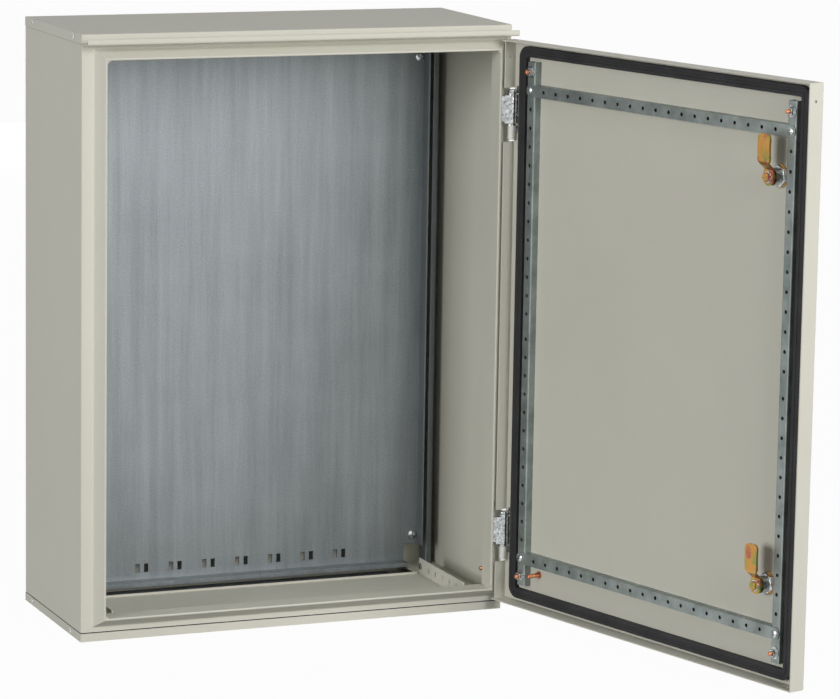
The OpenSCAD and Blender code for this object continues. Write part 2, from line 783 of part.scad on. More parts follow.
module hinge_bracket_upper() { hinge_bracket(hinge_high); }
module hinge_bracket_lower() { hinge_bracket(hinge_low); }

// ---- locks ----

module lock_housing(z) {
    color(zinc) on_door() on_panel(lock_x, z) difference() {
        union() {
            translate([0, 0, -sheet - 3]) cylinder(r = 15, h = 3, $fn = 64);
            translate([0, 0, -sheet - 1]) cylinder(r = housing_r, h = 18 + sheet, $fn = 64);
        }
        translate([0, 0, -10]) cylinder(r = insert_r + 0.05, h = 40, $fn = 64);
    }
}

module lock_housing_upper() { lock_housing(lock_high); }
module lock_housing_lower() { lock_housing(lock_low); }

module lock_nut(z) {
    color(zinc) on_door() on_panel(lock_x, z) {
        washer(14.5, 1.2, housing_r);
        translate([0, 0, 1.2]) hex_nut(25, 6, housing_r);
    }
}

module lock_nut_upper() { lock_nut(lock_high); }
module lock_nut_lower() { lock_nut(lock_low); }

// The turning core: a key recess outside and a square for the cam inside.
module lock_insert(z) {
    core_l = 17;
    color(zinc) on_door() on_panel(lock_x, z) difference() {
        union() {
            translate([0, 0, -sheet - 2]) cylinder(r = insert_r, h = core_l + sheet + 2, $fn = 64);
            translate([0, 0, core_l]) cylinder(r = insert_r - 1, h = 2, $fn = 48);
            translate([-4, -4, 19]) cube([8, 8, cam_t]);
        }
        translate([0, 0, -sheet - 3]) cylinder(r = 5.5, h = 8, $fn = 48);
        translate([0, 0, 8]) cylinder(r = 2, h = 30, $fn = 32);
    }
    color(zinc) on_door() on_panel(lock_x, z) translate([0, 0, -sheet - 2 + eps]) {
        cylinder(r = 2.2, h = 6, $fn = 32);
        translate([-4.2, -0.9, 0]) cube([8.4, 1.8, 6]);
    }
}

module lock_insert_upper() { lock_insert(lock_high); }
module lock_insert_lower() { lock_insert(lock_low); }

// A cranked bar that points up when open; its blade stands further in than its hub.
module lock_cam(z) {
    blade_w = 16;
    hub_y = 0;
    blade_y = cam_blade_y - cam_hub_y;
    path = [[hub_y, -11], [hub_y, 11], [blade_y, 20], [blade_y, cam_reach]];
    color(chromate) on_door() translate([lock_x, cam_hub_y, z]) difference() {
        intersection() {
            translate([-blade_w / 2, 0, 0]) along_x(0, blade_w) folded_sheet(path, cam_t, 3.2);
            along_y(-5, 30) round_rect(-blade_w / 2, blade_w / 2, -11, cam_reach, 4);
        }
        translate([-4, -1, -4]) cube([8, cam_t + 2, 8]);
    }
}

module lock_cam_upper() { lock_cam(lock_high); }
module lock_cam_lower() { lock_cam(lock_low); }

module cam_washer(z) {
    color(zinc) on_door() translate([lock_x, cam_hub_y + cam_t, z]) rotate([-90, 0, 0]) washer(7.5, 1.5, 2.7);
}

module cam_washer_upper() { cam_washer(lock_high); }
module cam_washer_lower() { cam_washer(lock_low); }

module cam_bolt(z) {
    color(chromate) on_door() translate([lock_x, cam_hub_y + cam_t + 1.5, z]) rotate([-90, 0, 0]) {
        cylinder(d = 10 / cos(30), h = 4.5, $fn = 6);
        translate([0, 0, -8]) cylinder(r = 2, h = 8, $fn = 32);
    }
}

module cam_bolt_upper() { cam_bolt(lock_high); }
module cam_bolt_lower() { cam_bolt(lock_low); }

// ---- what is drawn ----

body_wrap();
front_header();
front_sill();
roof();
base_pan();
base_seal();
body_floor();
floor_rail_left();
floor_rail_right();
floor_rail_screws();
gland_plate();
gland_gasket();
gland_screws();
support_rail_left();
support_rail_right();
mounting_plate();
plate_screws();
plate_standoffs();
body_earth_stud();
roof_rivets();
base_rivets();
hinge_leaf_upper();
hinge_leaf_lower();
hinge_pin_upper();
hinge_pin_lower();
hinge_sleeve_upper();
hinge_sleeve_lower();
door_panel();
door_gasket();
door_rail_hinge_side();
door_rail_lock_side();
door_rail_top();
door_rail_bottom();
rail_studs();
rail_washers();
rail_nuts();
rail_screws();
door_earth_bolt();
hinge_bracket_upper();
hinge_bracket_lower();
lock_housing_upper();
lock_housing_lower();
lock_nut_upper();
lock_nut_lower();
lock_insert_upper();
lock_insert_lower();
lock_cam_upper();
lock_cam_lower();
cam_washer_upper();
cam_washer_lower();
cam_bolt_upper();
cam_bolt_lower();
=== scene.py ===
import bpy
import json
import math
from mathutils import Matrix, Vector

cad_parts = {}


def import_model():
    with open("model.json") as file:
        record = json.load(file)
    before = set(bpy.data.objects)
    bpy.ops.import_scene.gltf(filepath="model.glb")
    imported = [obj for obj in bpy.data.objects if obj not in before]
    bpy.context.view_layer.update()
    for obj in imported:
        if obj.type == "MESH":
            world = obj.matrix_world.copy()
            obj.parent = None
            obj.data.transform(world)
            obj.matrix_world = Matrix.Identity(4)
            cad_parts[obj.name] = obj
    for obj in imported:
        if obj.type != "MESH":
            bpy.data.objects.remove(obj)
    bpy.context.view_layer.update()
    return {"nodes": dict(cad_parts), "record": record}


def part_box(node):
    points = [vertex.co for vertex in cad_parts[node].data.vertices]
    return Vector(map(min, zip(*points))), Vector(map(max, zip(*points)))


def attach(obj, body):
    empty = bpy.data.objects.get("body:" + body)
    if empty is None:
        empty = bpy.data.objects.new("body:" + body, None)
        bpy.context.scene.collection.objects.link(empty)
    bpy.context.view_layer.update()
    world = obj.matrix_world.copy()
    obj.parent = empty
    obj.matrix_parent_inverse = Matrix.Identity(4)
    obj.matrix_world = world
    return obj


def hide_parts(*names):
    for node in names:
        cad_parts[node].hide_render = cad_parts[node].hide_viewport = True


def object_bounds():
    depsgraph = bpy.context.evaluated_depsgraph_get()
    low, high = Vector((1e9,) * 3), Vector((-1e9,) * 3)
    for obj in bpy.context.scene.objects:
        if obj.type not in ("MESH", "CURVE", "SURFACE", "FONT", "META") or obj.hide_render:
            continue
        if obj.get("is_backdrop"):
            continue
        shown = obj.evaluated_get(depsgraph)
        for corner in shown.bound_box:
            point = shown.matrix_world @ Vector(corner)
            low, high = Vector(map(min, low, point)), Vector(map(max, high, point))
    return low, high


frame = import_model()
record = frame["record"]
nodes = frame["nodes"]
print("cabinet loaded:", len(nodes), "nodes")


def moved(x, y, z):
    return Matrix.Translation((x, y, z))


def turned(degrees, axis):
    return Matrix.Rotation(math.radians(degrees), 4, axis)


# yaw, pitch and roll in degrees
camera = {"place": (-1.8653, -5.0755, 1.3176), "yaw": 22.398, "pitch": 10.076, "roll": 0.958,
          "lens": 173.77, "sensor": 36, "near": 0.05, "far": 60}


def aimedCamera(c):
    data = bpy.data.cameras.new("viewCamera")
    data.lens = c["lens"]
    data.sensor_width = c["sensor"]
    data.clip_start = c["near"]
    data.clip_end = c["far"]
    seat = bpy.data.objects.new("viewCamera", data)
    bpy.context.collection.objects.link(seat)
    turn = turned(-c["yaw"], "Z") @ turned(90 - c["pitch"], "X") @ turned(c["roll"], "Z")
    seat.matrix_world = moved(*c["place"]) @ turn
    return seat


bpy.context.scene.camera = aimedCamera(camera)
print("camera aimed")


class Link:
    # one node socket that takes part in sums
    def __init__(self, tree, socket):
        self.tree = tree
        self.socket = socket

    def maths(self, operation, first, second):
        node = self.tree.nodes.new("ShaderNodeMath")
        node.operation = operation
        plug(self.tree, node.inputs[0], first)
        plug(self.tree, node.inputs[1], second)
        return Link(self.tree, node.outputs[0])

    def __add__(self, other): return self.maths("ADD", self, other)
    def __radd__(self, other): return self.maths("ADD", other, self)
    def __sub__(self, other): return self.maths("SUBTRACT", self, other)
    def __rsub__(self, other): return self.maths("SUBTRACT", other, self)
    def __mul__(self, other): return self.maths("MULTIPLY", self, other)
    def __rmul__(self, other): return self.maths("MULTIPLY", other, self)
    def atLeast(self, other): return self.maths("MAXIMUM", self, other)


def plug(tree, socket, value):
    if isinstance(value, Link):
        tree.links.new(value.socket, socket)
    elif hasattr(socket.default_value, "__len__"):
        size = len(socket.default_value)
        socket.default_value = (tuple(value) + (1.0,))[:size]
    else:
        socket.default_value = value


class NodeWork:
    # fills a tree: node() adds any node, from its type, its settings and its sockets' values
    def __init__(self, tree):
        self.tree = tree
        self.tree.nodes.clear()

    def node(self, kind, settings=None, sockets=None, out=0):
        made = self.tree.nodes.new(kind)
        for key, value in (settings or {}).items():
            setattr(made, key, value)
        for key, value in (sockets or {}).items():
            plug(self.tree, made.inputs[key], value)
        return Link(self.tree, made.outputs[out]) if made.outputs else None

    def seenRays(self):
        # 1 on the rays that show the background: the camera's own, and those through glass or off metal
        seen = self.node("ShaderNodeLightPath", out="Is Camera Ray")
        rays = seen.socket.node.outputs
        for kind in ("Is Transmission Ray", "Is Glossy Ray"):
            seen = seen.atLeast(Link(self.tree, rays[kind]))
        return seen


class Finish(NodeWork):
    # a material being built, with its patterns on the piece's own coordinates
    def __init__(self, name):
        self.material = bpy.data.materials.new(name)
        self.material.use_nodes = True
        super().__init__(self.material.node_tree)
        self.place = self.node("ShaderNodeTexCoord", out="Object")

    def noise(self, grain, stretch=(1, 1, 1), distortion=0.0):
        # grain is the noise's scale, detail and roughness
        scale, detail, roughness = grain
        place = self.node("ShaderNodeMapping", sockets={"Vector": self.place, "Scale": stretch}, out="Vector")
        return self.node("ShaderNodeTexNoise", sockets={
            "Vector": place, "Scale": scale, "Detail": detail, "Roughness": roughness,
            "Distortion": distortion}, out="Fac")

    def blended(self, factor, first, second):
        # the Mix node's colour sockets, which share their names with others, by number
        return self.node("ShaderNodeMix", {"data_type": "RGBA"}, {0: factor, 6: first, 7: second}, out=2)

    def ranged(self, value, spread, top=1.0):
        # from 0 at the spread's low end to top at its high end
        low, high = spread
        return self.node("ShaderNodeMapRange", {"clamp": True}, {
            "Value": value, "From Min": low, "From Max": high, "To Min": 0.0, "To Max": top}, out="Result")

    def bump(self, height, relief):
        strength, distance = relief
        return self.node("ShaderNodeBump", sockets={"Height": height, "Strength": strength,
                                                    "Distance": distance}, out="Normal")

    def surface(self, **sockets):
        shader = self.node("ShaderNodeBsdfPrincipled", sockets=sockets)
        return self.done(shader)

    def done(self, shader):
        self.node("ShaderNodeOutputMaterial", sockets={"Surface": shader})
        return self.material


# In each look a noise is its scale, detail and roughness, a spread is the part of a noise that is
# used, the ...Rough values are how far a noise moves the roughness, and a relief is the bump's
# strength and depth in metres.

paintLook = {"colour": (0.640, 0.628, 0.545), "shade": (0.605, 0.594, 0.515), "speck": (0.9, 0.9, 0.86),
             "cloud": (3.0, 4.0, 0.55), "cloudSpread": (0.3, 0.7), "cloudRough": 0.10,
             "grain": (700.0, 2.0, 0.5), "grainSpread": (0.35, 0.75), "grainRough": 0.08, "specks": 0.06,
             "peel": (245.0, 2.0, 0.4), "relief": (0.16, 0.0006), "roughness": 0.46, "specular": 0.10}


def paintedSheet(look):
    f = Finish("greyPowderCoat")
    cloud = f.noise(look["cloud"])
    grain = f.noise(look["grain"])
    peel = f.noise(look["peel"])
    colour = f.blended(f.ranged(cloud, look["cloudSpread"]), look["shade"], look["colour"])
    colour = f.blended(f.ranged(grain, look["grainSpread"], look["specks"]), colour, look["speck"])
    rough = look["roughness"] + (cloud - 0.5) * look["cloudRough"] + (grain - 0.5) * look["grainRough"]
    return f.surface(**{"Base Color": colour, "Roughness": rough, "Specular IOR Level": look["specular"],
                        "Normal": f.bump(grain * 0.5 + peel, look["relief"])})


zincLook = {"colour": (0.295, 0.322, 0.334), "dark": (0.163, 0.183, 0.191),
            "streak": (9.0, 6.0, 0.62), "streakStretch": (7.0, 7.0, 0.28), "streakShare": 0.34,
            "fine": (60.0, 4.0, 0.6), "fineStretch": (8.0, 8.0, 0.25), "fineShare": 0.16, "fineRough": 0.22,
            "mottle": (14.0, 4.0, 0.55), "mottleShare": 0.15, "mottleRough": 0.12,
            "spangle": (420.0, 3.0, 0.65), "spangleShare": 0.35, "spread": (0.36, 0.64),
            "relief": (0.10, 0.0004), "roughness": 0.46, "metallic": 0.6}


def galvanisedSheet(look):
    f = Finish("galvanisedSheet")
    streak = f.noise(look["streak"], look["streakStretch"])
    fine = f.noise(look["fine"], look["fineStretch"])
    mottle = f.noise(look["mottle"])
    spangle = f.noise(look["spangle"])
    amount = (streak * look["streakShare"] + fine * look["fineShare"] + mottle * look["mottleShare"]
              + spangle * look["spangleShare"])
    colour = f.blended(f.ranged(amount, look["spread"]), look["dark"], look["colour"])
    rough = look["roughness"] + (fine - 0.5) * look["fineRough"] + (mottle - 0.5) * look["mottleRough"]
    return f.surface(**{"Base Color": colour, "Roughness": rough, "Metallic": look["metallic"],
                        "Normal": f.bump(fine, look["relief"])})


railLook = {"dark": (0.195, 0.228, 0.219), "colour": (0.338, 0.376, 0.362),
            "mottle": (35.0, 5.0, 0.6), "spread": (0.35, 0.7), "fine": (500.0, 3.0, 0.5), "fineRough": 0.25,
            "relief": (0.12, 0.0003), "roughness": 0.46, "metallic": 0.75}


def dullZincRail(look):
    f = Finish("dullZincRail")
    mottle = f.noise(look["mottle"])
    fine = f.noise(look["fine"])
    colour = f.blended(f.ranged(mottle, look["spread"]), look["dark"], look["colour"])
    rough = look["roughness"] + (fine - 0.5) * look["fineRough"]
    return f.surface(**{"Base Color": colour, "Roughness": rough, "Metallic": look["metallic"],
                        "Normal": f.bump(fine, look["relief"])})


plateLook = {"colour": (0.66, 0.68, 0.68), "dark": (0.16, 0.175, 0.18),
             "mottle": (260.0, 4.0, 0.6), "spread": (0.28, 0.62), "dents": (420.0, 2.0, 0.5),
             "fine": (1400.0, 2.0, 0.5), "fineRough": 0.2, "fineShare": 0.2,
             "relief": (0.30, 0.0010), "roughness": 0.17, "metallic": 0.95}


def brightZincPlate(look):
    f = Finish("brightZincPlate")
    mottle = f.noise(look["mottle"])
    dents = f.noise(look["dents"])
    fine = f.noise(look["fine"])
    colour = f.blended(f.ranged(mottle, look["spread"]), look["dark"], look["colour"])
    rough = look["roughness"] + (fine - 0.5) * look["fineRough"]
    return f.surface(**{"Base Color": colour, "Roughness": rough, "Metallic": look["metallic"],
                        "Normal": f.bump(dents + fine * look["fineShare"], look["relief"])})


copperLook = {"colour": (0.72, 0.30, 0.14), "dark": (0.42, 0.16, 0.08),
              "mottle": (220.0, 4.0, 0.55), "spread": (0.3, 0.7), "mottleRough": 0.25,
              "relief": (0.08, 0.0002), "roughness": 0.34, "metallic": 0.9}


def copperPlating(look):
    f = Finish("copperPlating")
    mottle = f.noise(look["mottle"])
    colour = f.blended(f.ranged(mottle, look["spread"]), look["dark"], look["colour"])
    rough = look["roughness"] + (mottle - 0.5) * look["mottleRough"]
    return f.surface(**{"Base Color": colour, "Roughness": rough, "Metallic": look["metallic"],
                        "Normal": f.bump(mottle, look["relief"])})


chromateLook = {"colour": (0.56, 0.30, 0.08), "green": (0.27, 0.31, 0.08), "pink": (0.44, 0.13, 0.10),
                "greenDrift": (75.0, 3.0, 0.5), "greenWarp": 0.6, "greenSpread": (0.50, 0.64),
                "pinkDrift": (60.0, 3.0, 0.5), "pinkSpread": (0.53, 0.68),
                "fine": (900.0, 2.0, 0.5), "fineRough": 0.2,
                "relief": (0.08, 0.0002), "roughness": 0.24, "metallic": 0.9}


def yellowChromate(look):
    f = Finish("yellowChromate")
    green = f.noise(look["greenDrift"], distortion=look["greenWarp"])
    pink = f.noise(look["pinkDrift"])
    fine = f.noise(look["fine"])
    colour = f.blended(f.ranged(green, look["greenSpread"]), look["colour"], look["green"])
    colour = f.blended(f.ranged(pink, look["pinkSpread"]), colour, look["pink"])
    rough = look["roughness"] + (fine - 0.5) * look["fineRough"]
    return f.surface(**{"Base Color": colour, "Roughness": rough, "Metallic": look["metallic"],
                        "Normal": f.bump(fine, look["relief"])})


sealLook = {"colour": (0.012, 0.012, 0.014), "light": (0.035, 0.035, 0.038),
            "pores": (1100.0, 2.0, 0.6), "poreShare": 0.4, "poreRough": 0.25,
            "cloud": (25.0, 3.0, 0.5), "cloudShare": 0.6, "spread": (0.35, 0.7),
            "relief": (0.25, 0.0004), "roughness": 0.62, "specular": 0.35}


def foamedSeal(look):
    f = Finish("foamedSeal")
    pores = f.noise(look["pores"])
    cloud = f.noise(look["cloud"])
    amount = cloud * look["cloudShare"] + pores * look["poreShare"]
    colour = f.blended(f.ranged(amount, look["spread"]), look["colour"], look["light"])
    rough = look["roughness"] + (pores - 0.5) * look["poreRough"]
    return f.surface(**{"Base Color": colour, "Roughness": rough, "Specular IOR Level": look["specular"],
                        "Normal": f.bump(pores, look["relief"])})


nylonLook = {"colour": (0.80, 0.79, 0.75), "dark": (0.70, 0.69, 0.65),
             "cloud": (90.0, 3.0, 0.5), "spread": (0.3, 0.7), "fine": (1200.0, 2.0, 0.5), "fineRough": 0.1,
             "relief": (0.06, 0.0002), "roughness": 0.42, "glow": 0.08, "glowDepth": 0.002}


def naturalNylon(look):
    f = Finish("naturalNylon")
    cloud = f.noise(look["cloud"])
    fine = f.noise(look["fine"])
    colour = f.blended(f.ranged(cloud, look["spread"]), look["dark"], look["colour"])
    rough = look["roughness"] + (fine - 0.5) * look["fineRough"]
    return f.surface(**{"Base Color": colour, "Roughness": rough, "Subsurface Weight": look["glow"],
                        "Subsurface Scale": look["glowDepth"], "Normal": f.bump(fine, look["relief"])})


finishes = {
    "painted_sheet": paintedSheet(paintLook),
    "galvanised_sheet": galvanisedSheet(zincLook),
    "zinc_rail": dullZincRail(railLook),
    "zinc_plated": brightZincPlate(plateLook),
    "copper_plated": copperPlating(copperLook),
    "yellow_chromate": yellowChromate(chromateLook),
    "seal": foamedSeal(sealLook),
    "nylon": naturalNylon(nylonLook),
}

slotOf = {part["node"]: part["material_slot"] for part in record["subparts"]}
for name, piece in nodes.items():
    for socket in piece.material_slots:
        socket.material = finishes[slotOf[name]]
print("finishes on", len(nodes), "nodes")


# The door's pieces are placed as on the shut door: x from the hinge axis, y into the cabinet and z up.
joints = {joint["name"]: joint for joint in record["behaviour"]["joints"]}
hinge = Vector(joints["door_hinge"]["pos_m"])
doorOpen = 105.5  # degrees, at rest
panelFace = -0.007  # the door panel's inner face
through = 0.001  # how far a cutting tool runs past what it cuts
curveBelow = 50  # degrees; faces that meet at less are shaded as one curve
oneFaceWithin = 1  # degrees; a solid's triangles that meet at less are joined
onePointWithin = 0.000005
doorPlace = Matrix.Translation(hinge) @ turned(doorOpen, "Z")
facingIn = turned(-90, "X")  # turns a piece's own +Z to stand on the door panel


def onDoor(x, y, z):
    return doorPlace @ moved(x, y, z) @ facingIn


def onlyThis(piece):
    bpy.ops.object.select_all(action="DESELECT")
    piece.select_set(True)
    bpy.context.view_layer.objects.active = piece


def inEdit(piece, work):
    onlyThis(piece)
    bpy.ops.object.mode_set(mode="EDIT")
    bpy.ops.mesh.select_all(action="SELECT")
    work()
    bpy.ops.object.mode_set(mode="OBJECT")


def applied(piece, kind, **settings):
    onlyThis(piece)
    modifier = piece.modifiers.new(kind, kind)
    for key, value in settings.items():
        setattr(modifier, key, value)
    bpy.ops.object.modifier_apply(modifier=modifier.name)


def added(primitive, **settings):
    bpy.ops.object.select_all(action="DESELECT")
    primitive(**settings)
    return bpy.context.active_object


def settled():
    # puts a new primitive's place and size into its mesh
    bpy.ops.object.transform_apply(location=True, rotation=True, scale=True)
    return bpy.context.active_object


def cylinder(radius, low, high, sides=48, place=(0, 0)):
    added(bpy.ops.mesh.primitive_cylinder_add, vertices=sides, radius=radius, depth=high - low,
          location=(place[0], place[1], (low + high) / 2))
    return settled()


def block(low, high):
    added(bpy.ops.mesh.primitive_cube_add, size=1, location=[(a + b) / 2 for a, b in zip(low, high)],
          scale=[b - a for a, b in zip(low, high)])
    return settled()


def cut(piece, tool, operation="DIFFERENCE"):
    applied(piece, "BOOLEAN", operation=operation, object=tool, solver="EXACT")
    bpy.data.objects.remove(tool)
    return piece


def bevelled(piece, width, sharp, segments):
    # edges that turn by more than sharp degrees are rounded
    applied(piece, "BEVEL", width=width, segments=segments, limit_method="ANGLE",
            angle_limit=math.radians(sharp))


def smoothShaded(piece, degrees):
    onlyThis(piece)
    bpy.ops.object.shade_smooth_by_angle(angle=math.radians(degrees))
    return piece


def softEdged(piece, width, sharp, segments):
    bevelled(piece, width, sharp, segments)
    smoothShaded(piece, curveBelow)
    applied(piece, "WEIGHTED_NORMAL", keep_sharp=True, weight=50)
    return piece


def fromNode(name):
    # a copy of a CAD solid with its triangles joined into faces again
    piece = bpy.data.objects.new(name + "Shape", nodes[name].data.copy())
    bpy.context.collection.objects.link(piece)

    def joinFaces():
        bpy.ops.mesh.remove_doubles(threshold=onePointWithin)
        bpy.ops.mesh.dissolve_limited(angle_limit=math.radians(oneFaceWithin))

    inEdit(piece, joinFaces)
    return piece


def copied(piece, place):
    twin = piece.copy()
    twin.data = piece.data.copy()
    bpy.context.collection.objects.link(twin)
    twin.data.transform(place)
    return twin


def cleared(*spares):
    for spare in spares:
        bpy.data.objects.remove(spare)


def finished(piece, name, slot, body, *stands):
    piece.name = name
    piece.data.materials.clear()
    piece.data.materials.append(finishes[slot])
    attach(piece, body)
    if stands:
        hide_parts(*stands)
    return piece


threadShape = {"radius": 0.003, "root": 0.00255, "pitch": 0.001, "chamfer": 0.0012,
               "sides": 24, "rings": 4, "merge": 0.000002}


def threadedRod(length, t):
    # a sheet wrapped into a screw: its radius follows the helix
    rings = int(length / t["pitch"] * t["rings"])
    rod = added(bpy.ops.mesh.primitive_grid_add, x_subdivisions=t["sides"], y_subdivisions=rings, size=1)
    for vertex in rod.data.vertices:
        around = vertex.co.x + 0.5
        height = (vertex.co.y + 0.5) * length
        phase = (height / t["pitch"] - around) % 1.0
        radius = t["root"] + (t["radius"] - t["root"]) * (1 - abs(2 * phase - 1))
        radius = min(radius, t["radius"] - t["chamfer"] + (length - height))
        angle = around * 2 * math.pi
        vertex.co = (radius * math.cos(angle), radius * math.sin(angle), height)

    def closeEnds():
        bpy.ops.mesh.remove_doubles(threshold=t["merge"])
        bpy.ops.mesh.select_all(action="DESELECT")
        bpy.ops.mesh.select_non_manifold()
        bpy.ops.mesh.fill_holes(sides=0)
        bpy.ops.mesh.select_all(action="SELECT")
        bpy.ops.mesh.normals_make_consistent(inside=False)

    inEdit(rod, closeEnds)
    return smoothShaded(rod, curveBelow)


# Edges and domes are given as bevel width, least angle in degrees and segments.
hexShape = {"flare": 0.004, "face": 0.96, "fall": 0.3, "skirt": 0.003, "edge": (0.0002, 25, 1)}


def hexHead(across, height, hole=None):
    # a hexagon whose upper corners are turned off by a cone
    h = hexShape
    corner = across / 2 / math.cos(math.radians(30))
    wide, face = corner + h["flare"], across / 2 * h["face"]
    head = cylinder(corner, 0, height, 6)
    cone = added(bpy.ops.mesh.primitive_cone_add, vertices=64, radius1=wide, radius2=face,
                 depth=h["flare"], location=(0, 0, height - h["flare"] / 2))
    for vertex in cone.data.vertices:
        if vertex.co.z < 0:
            vertex.co.z -= (wide - face) * h["fall"]
    settled()
    cut(cone, cylinder(wide, -through, height - h["skirt"], 64), "UNION")
    cut(head, cone, "INTERSECT")
    if hole:
        cut(head, cylinder(hole, -through, height + through, 32))
    return softEdged(head, *h["edge"])


ringEdge = (0.0002, 40, 1)


def ring(outer, hole, height):
    piece = cylinder(outer, 0, height, 64)
    cut(piece, cylinder(hole, -through, height + through, 48))
    return softEdged(piece, *ringEdge)


# rings are given as outer radius, bore and height, hexagons as width across flats, height and bore
railStuds = {"lock": -0.5500, "hinge": -0.0445, "low": 0.059, "high": 0.743, "length": 0.021, "seat": 0.011,
             "flange": (0.0052, 0.0025, 0.0012), "washer": (0.0078, 0.003, 0.0013),
             "nut": (0.010, 0.005, 0.0027), "firstTurn": 31, "nextTurn": 23}


def studSets(s):
    rod = threadedRod(s["length"], threadShape)
    flange = ring(*s["flange"])
    washer = ring(*s["washer"])
    nut = hexHead(*s["nut"])
    turn = s["firstTurn"]
    for end, x in (("Lock", s["lock"]), ("Hinge", s["hinge"])):
        for level, z in (("Low", s["low"]), ("High", s["high"])):
            seat = onDoor(x, panelFace, z)
            spin = seat @ turned(turn, "Z")
            onRail = moved(0, 0, s["seat"])
            onWasher = moved(0, 0, s["seat"] + s["washer"][2])
            name = end + level
            finished(copied(rod, spin), "railStud" + name, "copper_plated", "door", "rail_studs")
            finished(copied(flange, seat), "studFlange" + name, "copper_plated", "door")
            finished(copied(washer, seat @ onRail), "railWasher" + name, "zinc_plated", "door",
                     "rail_washers")
            finished(copied(nut, spin @ onWasher), "railNut" + name, "zinc_plated", "door", "rail_nuts")
            turn += s["nextTurn"]
    cleared(rod, flange, washer, nut)


studSets(railStuds)
print("rail studs, washers and nuts made")


earthStuds = {"doorAt": (-0.0705, panelFace, 0.064), "doorLength": 0.020,
              "doorFlange": (0.0050, 0.0025, 0.0015),
              "bodyAt": (0.2985, -0.080, 0.047), "bodyLength": 0.011,
              "bodyFlange": (0.0050, 0.0025, 0.0012)}


def earthPoint(length, flange, place, name, body, node):
    stud = threadedRod(length, threadShape)
    stud.data.transform(place)
    finished(stud, name + "EarthStud", "copper_plated", body, node)
    base = ring(*flange)
    base.data.transform(place)
    finished(base, name + "EarthFlange", "copper_plated", body)


def earthPoints(e):
    earthPoint(e["doorLength"], e["doorFlange"], onDoor(*e["doorAt"]), "door", "door", "door_earth_bolt")
    inward = moved(*e["bodyAt"]) @ turned(-90, "Y")
    earthPoint(e["bodyLength"], e["bodyFlange"], inward, "body", "cabinet", "body_earth_stud")


earthPoints(earthStuds)
print("earth studs made")


# half widths of the cam's hub, neck and blade, and the heights between which each runs into the next
camShape = {"hub": 0.0090, "neck": 0.0066, "blade": 0.0108, "toNeck": (0.004, 0.013),
            "toBlade": (0.0165, 0.0215), "hubDrop": 0.002, "tip": 0.0003,
            "reach": 0.0545, "corner": 0.006, "thick": 0.003,
            "hubAt": 0.012, "bladeAt": 0.021, "crank": (0.0095, 0.0205), "bow": 0.0006, "bowFrom": 0.022,
            "columns": 14, "rows": 66, "edge": (0.0006, 50, 2)}


def smoothStep(value, low, high):
    t = min(max((value - low) / (high - low), 0), 1)
    return t * t * (3 - 2 * t)


def camBlank(c):
    cam = added(bpy.ops.mesh.primitive_grid_add, x_subdivisions=c["columns"], y_subdivisions=c["rows"],
                size=1)
    low = -c["hub"] - c["hubDrop"]
    for vertex in cam.data.vertices:
        side, t = vertex.co.x * 2, vertex.co.y + 0.5
        z = low + (c["reach"] - low) * t
        half = c["hub"] + (c["neck"] - c["hub"]) * smoothStep(z, *c["toNeck"])
        half += (c["blade"] - c["neck"]) * smoothStep(z, *c["toBlade"])
        if z < -c["hubDrop"]:
            half = math.sqrt(max(c["hub"] ** 2 - (z + c["hubDrop"]) ** 2, c["tip"] ** 2))
        if z > c["reach"] - c["corner"]:
            half += math.sqrt(max(c["corner"] ** 2 - (z - c["reach"] + c["corner"]) ** 2, 0)) - c["corner"]
        stand = (c["bladeAt"] - c["hubAt"]) * smoothStep(z, *c["crank"])
        stand += c["bow"] * math.sin(smoothStep(z, c["bowFrom"], c["reach"]) * math.pi)
        vertex.co = (side * half, c["hubAt"] + stand, z)
    applied(cam, "SOLIDIFY", thickness=c["thick"], offset=-1)
    inEdit(cam, lambda: bpy.ops.mesh.normals_make_consistent(inside=False))
    return softEdged(cam, *c["edge"])


lockParts = {"x": -0.522, "upper": 0.659, "lower": 0.142, "washer": (0.0075, 0.0027, 0.0015),
             "bolt": (0.010, 0.0045), "plate": (0.0145, 0.011, 0.0012), "nut": (0.025, 0.006, 0.011),
             "tilt": 12}


def lockSets(s, c):
    cam = camBlank(c)
    washer = ring(*s["washer"])
    bolt = hexHead(*s["bolt"])
    plate = ring(*s["plate"])
    nut = hexHead(*s["nut"])
    tilt = turned(s["tilt"], "Z")
    onWasher = moved(0, 0, s["washer"][2])
    onPlate = moved(0, 0, s["plate"][2])
    for level, body in (("upper", "upper_lock"), ("lower", "lower_lock")):
        z = s[level]
        finished(copied(cam, doorPlace @ moved(s["x"], 0, z)), level + "Cam", "yellow_chromate", body,
                 "lock_cam_" + level)
        place = onDoor(s["x"], c["hubAt"] + c["thick"], z)
        finished(copied(washer, place), level + "CamWasher", "zinc_plated", body, "cam_washer_" + level)
        finished(copied(bolt, place @ onWasher @ tilt), level + "CamBolt", "yellow_chromate", body,
                 "cam_bolt_" + level)
        seat = onDoor(s["x"], panelFace, z)
        finished(copied(plate, seat), level + "LockPlate", "yellow_chromate", "door", "lock_nut_" + level)
        finished(copied(nut, seat @ onPlate @ tilt), level + "LockNut", "zinc_plated", "door",
                 "lock_nut_" + level)
    cleared(cam, washer, bolt, plate, nut)


lockSets(lockParts, camShape)
print("locks made")


